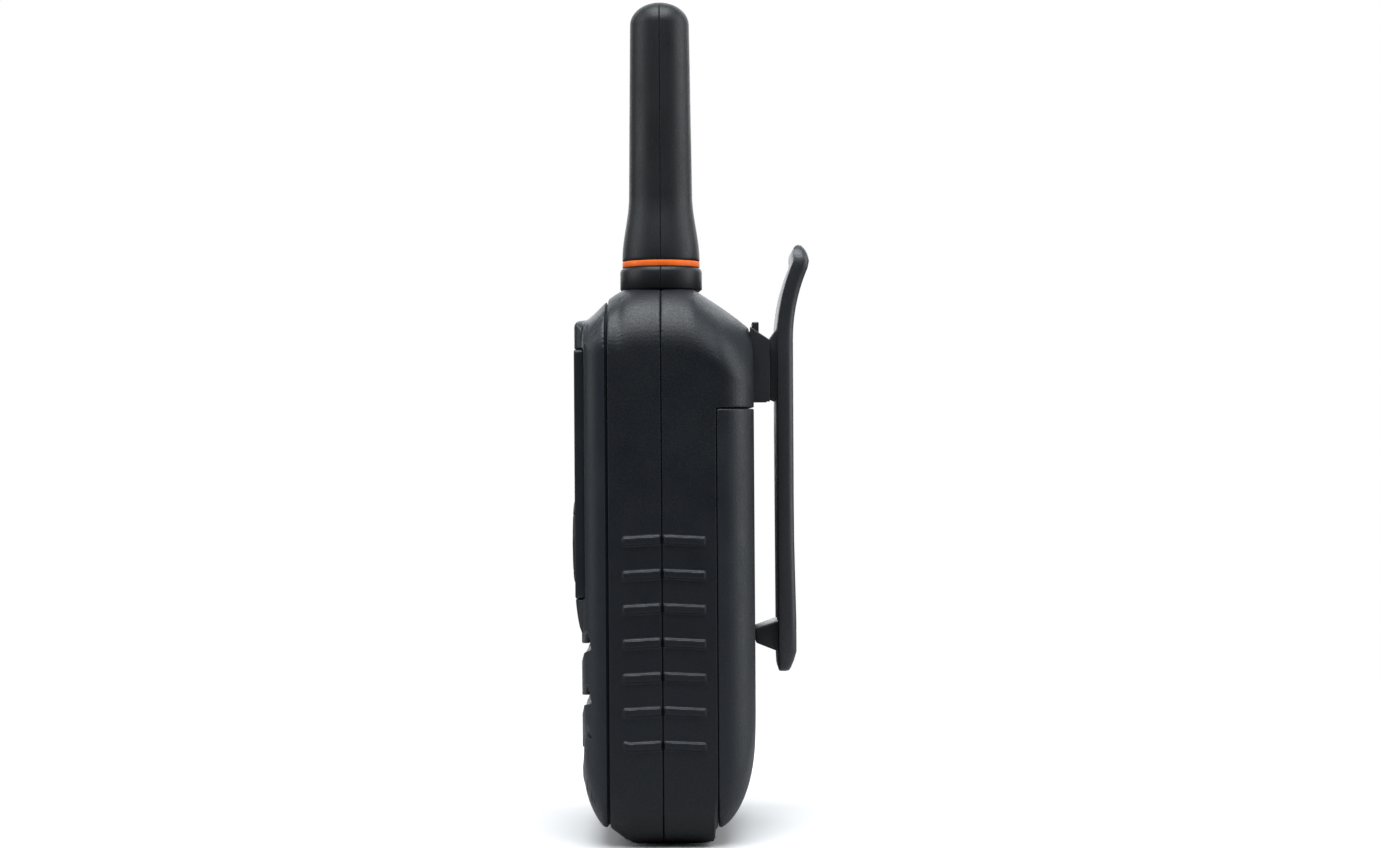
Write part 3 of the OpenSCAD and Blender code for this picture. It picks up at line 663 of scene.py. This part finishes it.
def key_marks():
    z0, reach, line = KEY_Z, 6.6, 0.16
    arrow = [(-1.0, -0.55), (1.0, -0.55), (0.0, 0.75)]
    key_mark("key_up", [([(x, z0 + reach + z) for x, z in arrow], line, True)])
    key_mark("key_down", [([(x, z0 - reach - z) for x, z in arrow], line, True)])
    key_mark("key_menu", [([(-1.5, z0 + dz), (1.5, z0 + dz)], line, False) for dz in (-0.95, 0, 0.95)])
    waves = [arc_points(-reach - 0.7, z0, r, -48, 48) for r in (0.6, 1.25, 1.9)]
    key_mark("key_call", [(wave, line, False) for wave in waves])
    circle = (arc_points(reach, z0, 0.95, 125, 415, 24), line, False)
    bar = ([(reach, z0 + 0.25), (reach, z0 + 1.3)], line, False)
    key_mark("key_power", [circle, bar])


# ---------------------------------------------------------------- studio

def area_light(name, place, target, size, power):
    """A softbox, slightly cool, that the camera doesn't see."""
    data = bpy.data.lights.new(name, "AREA")
    data.shape = "RECTANGLE"
    data.size, data.size_y = size
    data.energy = power
    data.color = (0.94, 0.97, 1)
    ob = bpy.data.objects.new(name, data)
    bpy.context.scene.collection.objects.link(ob)
    ob.location = place
    ob.rotation_euler = (Vector(target) - Vector(place)).to_track_quat("-Z", "Y").to_euler()
    ob.visible_camera = False


def floor():
    """A pale disc that fades out before its edge, so that it has no horizon."""
    radius, clear, full = 0.4, 0.34, 0.1
    bm = bmesh.new()
    bmesh.ops.create_circle(bm, cap_ends=True, segments=96, radius=radius)
    mesh = bpy.data.meshes.new("floor")
    bm.to_mesh(mesh)
    bm.free()
    ob = bpy.data.objects.new("floor", mesh)
    bpy.context.scene.collection.objects.link(ob)
    ob.location.z = -0.0001
    m = Nodes("floor_paper")
    tone = m.mix(m.noise(0.004, 3), (0.74, 0.74, 0.74, 1), (0.71, 0.71, 0.71, 1))
    # The paper throws back less light than it shows, so that the foot stays dark
    seen = m.node("LightPath").outputs["Is Camera Ray"]
    tone = m.mix(seen, (0.36, 0.36, 0.37, 1), tone)
    away = m.node("VectorMath", operation="LENGTH")
    m.link(m.coords, away.inputs[0])
    m.link(m.remap(away.outputs["Value"], full, clear, 1.0, 0.0), m.shader.inputs["Alpha"])
    tooth = m.bump(m.noise(0.9, 3), 0.02, 0.2)
    mesh.materials.append(m.finish(tone, 0.9, tooth, Specular_IOR_Level=0.1))


def surroundings(seen_by_camera=1.0, fill=0.05):
    """A white backdrop that lights the object only a little."""
    world = bpy.data.worlds.new("studio")
    bpy.context.scene.world = world
    world.use_nodes = True
    tree = world.node_tree
    back = tree.nodes["Background"]
    back.inputs["Color"].default_value = (1, 1, 1, 1)
    seen = tree.nodes.new("ShaderNodeLightPath")
    level = tree.nodes.new("ShaderNodeMapRange")
    level.inputs["To Min"].default_value = fill
    level.inputs["To Max"].default_value = seen_by_camera
    tree.links.new(seen.outputs["Is Camera Ray"], level.inputs["Value"])
    tree.links.new(level.outputs["Result"], back.inputs["Strength"])


def studio():
    floor()
    surroundings()
    middle, crown = (0, 0, 0.08), (0, 0, 0.1)
    area_light("top_softbox", (0.24, 0.0, 0.8), crown, (0.7, 0.75), 12.2)
    area_light("front_softbox", (0.12, -0.75, 0.42), middle, (0.5, 0.7), 3.4)
    area_light("back_softbox", (0.02, 0.75, 0.32), middle, (0.6, 0.8), 4.6)
    area_light("far_softbox", (-0.8, 0.0, 0.45), middle, (1.4, 0.8), 9)
    bpy.context.scene.view_settings.view_transform = "Standard"


def camera():
    data = bpy.data.cameras.new("camera")
    data.sensor_width = 36
    data.lens = 61.8
    data.clip_start, data.clip_end = 0.01, 20
    ob = bpy.data.objects.new("camera", data)
    bpy.context.scene.collection.objects.link(ob)
    ob.location = (0.480, 0.00554, 0.08145)
    roll = math.radians(0.38)
    ob.rotation_euler = (math.pi / 2, 0, math.pi / 2)
    ob.rotation_euler.rotate_axis("Z", -roll)
    bpy.context.scene.camera = ob


# ---------------------------------------------------------------- assembly

def dress_cad_nodes():
    """Gives every CAD node that still shows its own finish, on the object and not on the mesh."""
    middle = cell_wrap("cell_down", 14, 64.5, False)
    for name, ob in NODES.items():
        if ob.hide_render:
            continue
        finish = middle if name == "battery_middle" else FINISHES[SLOT_OF[name]]
        for s in ob.material_slots:
            s.link = "OBJECT"
            s.material = finish


FINISHES = make_finishes()
MARK = printed("key_print", srgb(168, 170, 172))
camera()
studio()
skin("front_shell", 0.22, 2, 0.25, shaped=True)
skin("rear_shell", 0.18, 4, 0.26, shaped=True)
skin("front_cover", 0.24, 3, 0.25, shaped=True)
skin("battery_cover", 0.26, 3, 0.25, shaped=True)
skin("jack_cover", 0.16, 2, 0.4, shaped=True)
for key in ("key_menu", "key_up", "key_down", "key_call", "key_power"):
    skin(key, 0.16, 2, 0.4)
for piece in ("display_bezel", "ptt_button", "clip_base", "foot_sole"):
    skin(piece, 0.2, 2, 0.5)
antenna_ring()
antenna_half("antenna_front_half", -1)
antenna_half("antenna_rear_half", 1)
clip_arm()
key_marks()
dress_cad_nodes()
